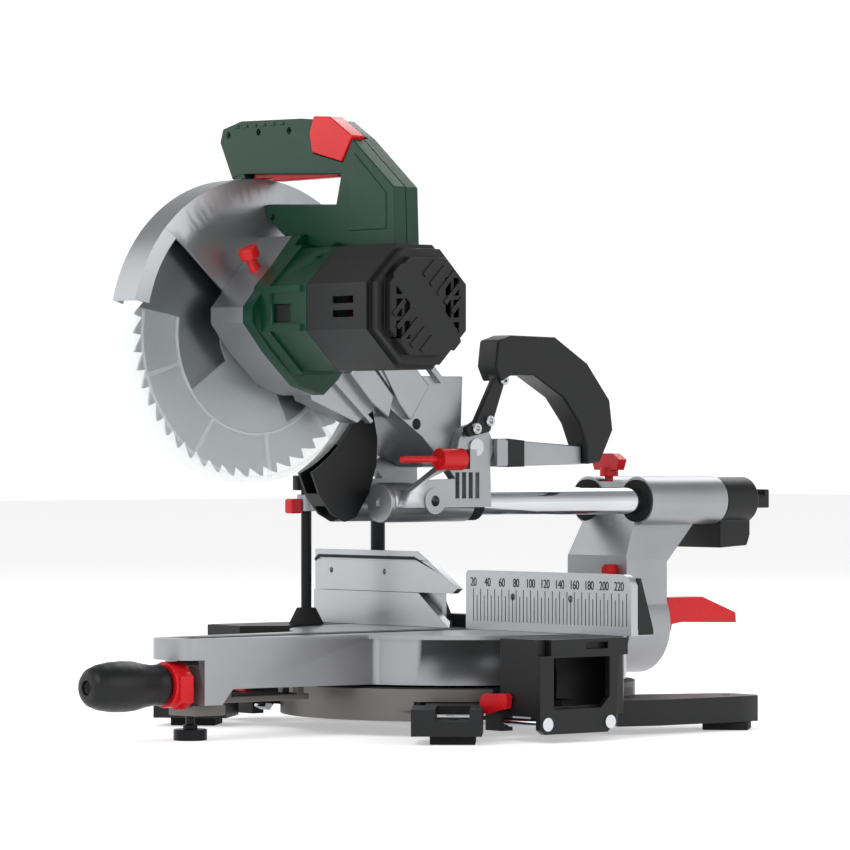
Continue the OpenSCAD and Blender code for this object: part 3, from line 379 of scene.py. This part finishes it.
# Hold-down clamp.
bare("clamp_post", black_steel)
finished("clamp_arm", "hold_clamp", aluminium, 0.8)
finished("clamp_screw", "clamp_screw", black_steel, 0.5)
plate("clamp_release_button", [(-172, 197), (-160, 197), (-160, 211), (-172, 211)], "y", -72, -59.5, red_nylon, "hold_clamp", 2, 3)
finished("clamp_pad", "clamp_screw", rubber, 0.8)

# Turntable with its arm, kerf insert, strap and levelling foot.
finished("turntable", "table", aluminium, 1.4)
finished("kerf_insert", "table", black_abs, 0.3)
finished("arm_strap", "table", gunmetal, 0.8)
finished("levelling_foot", "levelling_foot", black_steel, 0.8)
grip = finished("mitre_knob", "mitre_knob", black_abs, 0)
bpy.ops.object.shade_smooth_by_angle(angle=math.radians(60))
bare("lock_rod", chrome)
finished("detent_collar", "detent_lever", red_nylon, 0.8)

# Rail support and what is on it.
finished("rail_support", "rail_support", aluminium, 1.4)
bronze = textured("sintered_bronze", "#8f6f3c", 0.5, 0.3, 0.3, metallic=0.9)
bare("rail_bearings", bronze)
bare("rail_seals", rubber)
bare("bevel_bolt", chrome)
finished("bevel_stop_pin", "rail_support", red_nylon, 0.6)
finished("slide_lock_knob", "slide_lock", red_nylon, 0.8)
finished("bevel_lever", "bevel_lever", red_nylon, 1.0)

# Carriage on its rails.
bare("rails", chrome)
bare("pivot_shaft", chrome)
finished("carriage", "carriage", aluminium, 1.2)
finished("rail_caps", "carriage", aluminium, 0.6)
finished("rear_yoke", "carriage", black_abs, 1.2)
finished("slide_bumper", "carriage", rubber, 0.8)
finished("carry_handle", "carriage", black_abs, 7, angle=50, segments=5, shortest_mm=4)
finished("handle_arm", "carriage", aluminium, 1.4)
plate("handle_arm_band", [(4, 241.6), (24, 241.9), (24, 266.2), (4, 268)], "x", 47.6, 64.4, black_abs, "carriage", 0.4)
screws("carriage_screws", [(66.3, -37, 277), (66.3, -21, 284), (66.3, -4, 322)], (0, 90, 0), 5, chrome, "carriage")
finished("depth_stop", "depth_stop", red_nylon, 0.6)

# Head: casting, guards, motor and handle.
finished("head_casting", "head", aluminium, 1.4)
bare("return_spring", black_steel)
finished("upper_guard", "head", aluminium, 1.2)
finished("dust_chute", "head", black_abs, 1.0)
green_nylon = textured("dark_green_glass_filled_nylon", "#033222", 0.32, 0.6, 0.35)
finished("motor_housing", "head", green_nylon, 1.6)
finished("motor_end_cap", "head", black_abs, 1.6)
end_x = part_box("motor_end_cap")[1].x * 1000
motor_centre = ((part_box("motor_end_cap")[0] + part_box("motor_end_cap")[1]) * 500).yz
plate("motor_badge_plate", [(motor_centre.x + y, motor_centre.y + z) for y, z in (
    (-30, 36), (-22, 38), (-14, 34), (34, -20), (38, -30), (30, -38), (20, -36), (-36, 18), (-38, 28))],
      "x", end_x - 2, end_x - 0.05, black_abs, "head", 1.2, 3)
for side, sign in (("upper", 1), ("lower", -1)):
    for row in range(5):
        along = (row - 2) * 11
        inner, outer = 15, 43 - abs(row - 2) * 5
        root_y, root_z = motor_centre.x + along * 0.707, motor_centre.y - along * 0.707
        bar = [(root_y + sign * reach * 0.707 + side_step, root_z + sign * reach * 0.707 - side_step)
               for reach, side_step in ((inner, -1.6), (outer, -1.6), (outer, 1.6), (inner, 1.6))]
        plate(f"grille_rib_{side}_{row}", bar, "x", end_x - 2, end_x + 1.2, black_abs, "head", 0.7)
plate("motor_inlet_grid", [(94.5, motor_centre.y - 11.5), (117.5, motor_centre.y - 11.5),
      (117.5, motor_centre.y + 3.5), (94.5, motor_centre.y + 3.5)], "y", motor_centre.x - 52, motor_centre.x - 50,
      black_abs, "head", 0.3)
laminated = textured("laminated_steel", "#6f7174", 0.5, 0.5, 0.3, metallic=0.8)
copper = textured("enamelled_copper", "#b4713c", 0.35, 0.4, 0.3, metallic=0.9)
bare("motor_stator", laminated)
bare("motor_rotor", copper)
finished("handle_front", "head", green_nylon, 3.5, segments=4, shortest_mm=5)
finished("handle_rear", "head", green_nylon, 3.5, segments=4, shortest_mm=5)
handle_low, handle_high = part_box("handle_front")[0] * 1000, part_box("handle_front")[1] * 1000
handle_top = handle_high.z - 2
screws("handle_screws", [(x, handle_low.y + 3, handle_top + z) for x, z in ((-34, -10), (10, -9), (54, -10), (30, -86),
       (150, -84))], (90, 0, 0), 2.7, black_steel, "head")
plate("handle_side_panel", [(146, handle_top - 34), (190, handle_top - 70), (190, handle_low.z + 14),
      (139, handle_low.z + 14), (139, handle_top - 76)], "y", handle_low.y - 0.9, handle_low.y + 1, green_nylon, "head", 1.2, 3)
for ridge in range(6):
    x = -22 + ridge * 13
    plate(f"grip_ridge_{ridge}", [(x - 4, handle_top - 4.5), (x + 4, handle_top - 4.5), (x + 3, handle_top - 1.5),
          (x - 3, handle_top - 1.5)], "y", handle_low.y - 0.8, handle_low.y + 1, green_nylon, "head", 0.7)
finished("trigger", "trigger", red_nylon, 1.2)
finished("lock_off_button", "lock_off_button", red_nylon, 1.2)
finished("spindle_lock", "spindle_lock", red_nylon, 0.8)

# Lower guard, blade and spindle.
# Details of the head's side: two core boxes and ribs between them.
for number, outline in enumerate((
    [(-150, 352), (-132, 366), (-82, 316), (-104, 284), (-118, 300)],
    [(-176, 327), (-158, 343), (-124, 306), (-130, 286), (-150, 300)],
)):
    plate(f"core_box_{number}", outline, "x", 44, 55, aluminium, "head", 2.2, 3)
for number, outline in enumerate((
    [(-128, 380), (-124, 383), (-62, 322), (-66, 318)],
    [(-196, 322), (-193, 325), (-146, 284), (-149, 281)],
    [(-160, 350), (-156, 353), (-112, 305), (-116, 302)],
)):
    plate(f"head_rib_{number}", outline, "x", 44, 52, aluminium, "head", 0.8)
clear_guard, shader = start_material("clear_polycarbonate")
shader.inputs["Base Color"].default_value = linear("#e4eceb")
shader.inputs["Roughness"].default_value = 0.08
shader.inputs["IOR"].default_value = 1.585
shader.inputs["Alpha"].default_value = 0.13
finished("lower_guard", "lower_guard", clear_guard, 0.4)
hub_y, hub_z = (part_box("blade")[0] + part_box("blade")[1]).yz * 500


def on_guard(radius, angle):
    """A place on the guard's side, by its distance from the arbor and its angle from the back, upwards."""
    turn = math.radians(angle)
    return hub_y + radius * math.cos(turn), hub_z + radius * math.sin(turn)


for number, (low, high) in enumerate(((196, 198), (236, 238), (276, 278), (312, 314))):
    plate(f"guard_rib_{number}", [on_guard(90, low), on_guard(130, low), on_guard(130, high), on_guard(90, high)],
          "x", 11.5, 13.5, clear_guard, "lower_guard", 0.3)
for number, radius in enumerate((88, 126)):
    rim = [on_guard(radius, 171 + 8.4 * i) for i in range(21)] + [on_guard(radius + 2, 339 - 8.4 * i) for i in range(21)]
    plate(f"guard_rim_{number}", rim, "x", 11.4, 13.6, clear_guard, "lower_guard", 0.2)
plate("guard_tab", [on_guard(112, 333), on_guard(128, 329), on_guard(128, 336), on_guard(112, 338)],
      "x", 9, 14.5, red_nylon, "lower_guard", 0.8)
ground, ground_shader = start_material("ground_saw_steel")
place = add_node(ground, "ShaderNodeTexCoord")
arbor = add_node(ground, "ShaderNodeMapping", {"Location": (0, 0.2496, -0.3603)}, Vector=(place, "Object"))
rings = add_node(ground, "ShaderNodeVectorMath", {"operation": "LENGTH"}, Vector=(arbor, "Vector"))
grit = add_node(ground, "ShaderNodeTexNoise", {"noise_dimensions": "1D", "Scale": 900, "Detail": 4}, W=(rings, "Value"))
shine = add_node(ground, "ShaderNodeMapRange", {"To Min": 0.27, "To Max": 0.37}, Value=(grit, "Fac"))
join_up(ground, ground_shader, Roughness=(shine, "Result"))
ground_shader.inputs["Base Color"].default_value = linear("#8d9093")
ground_shader.inputs["Metallic"].default_value = 1.0
bare("blade", ground)
bare("arbor_flanges", black_steel)
bare("spindle", chrome)
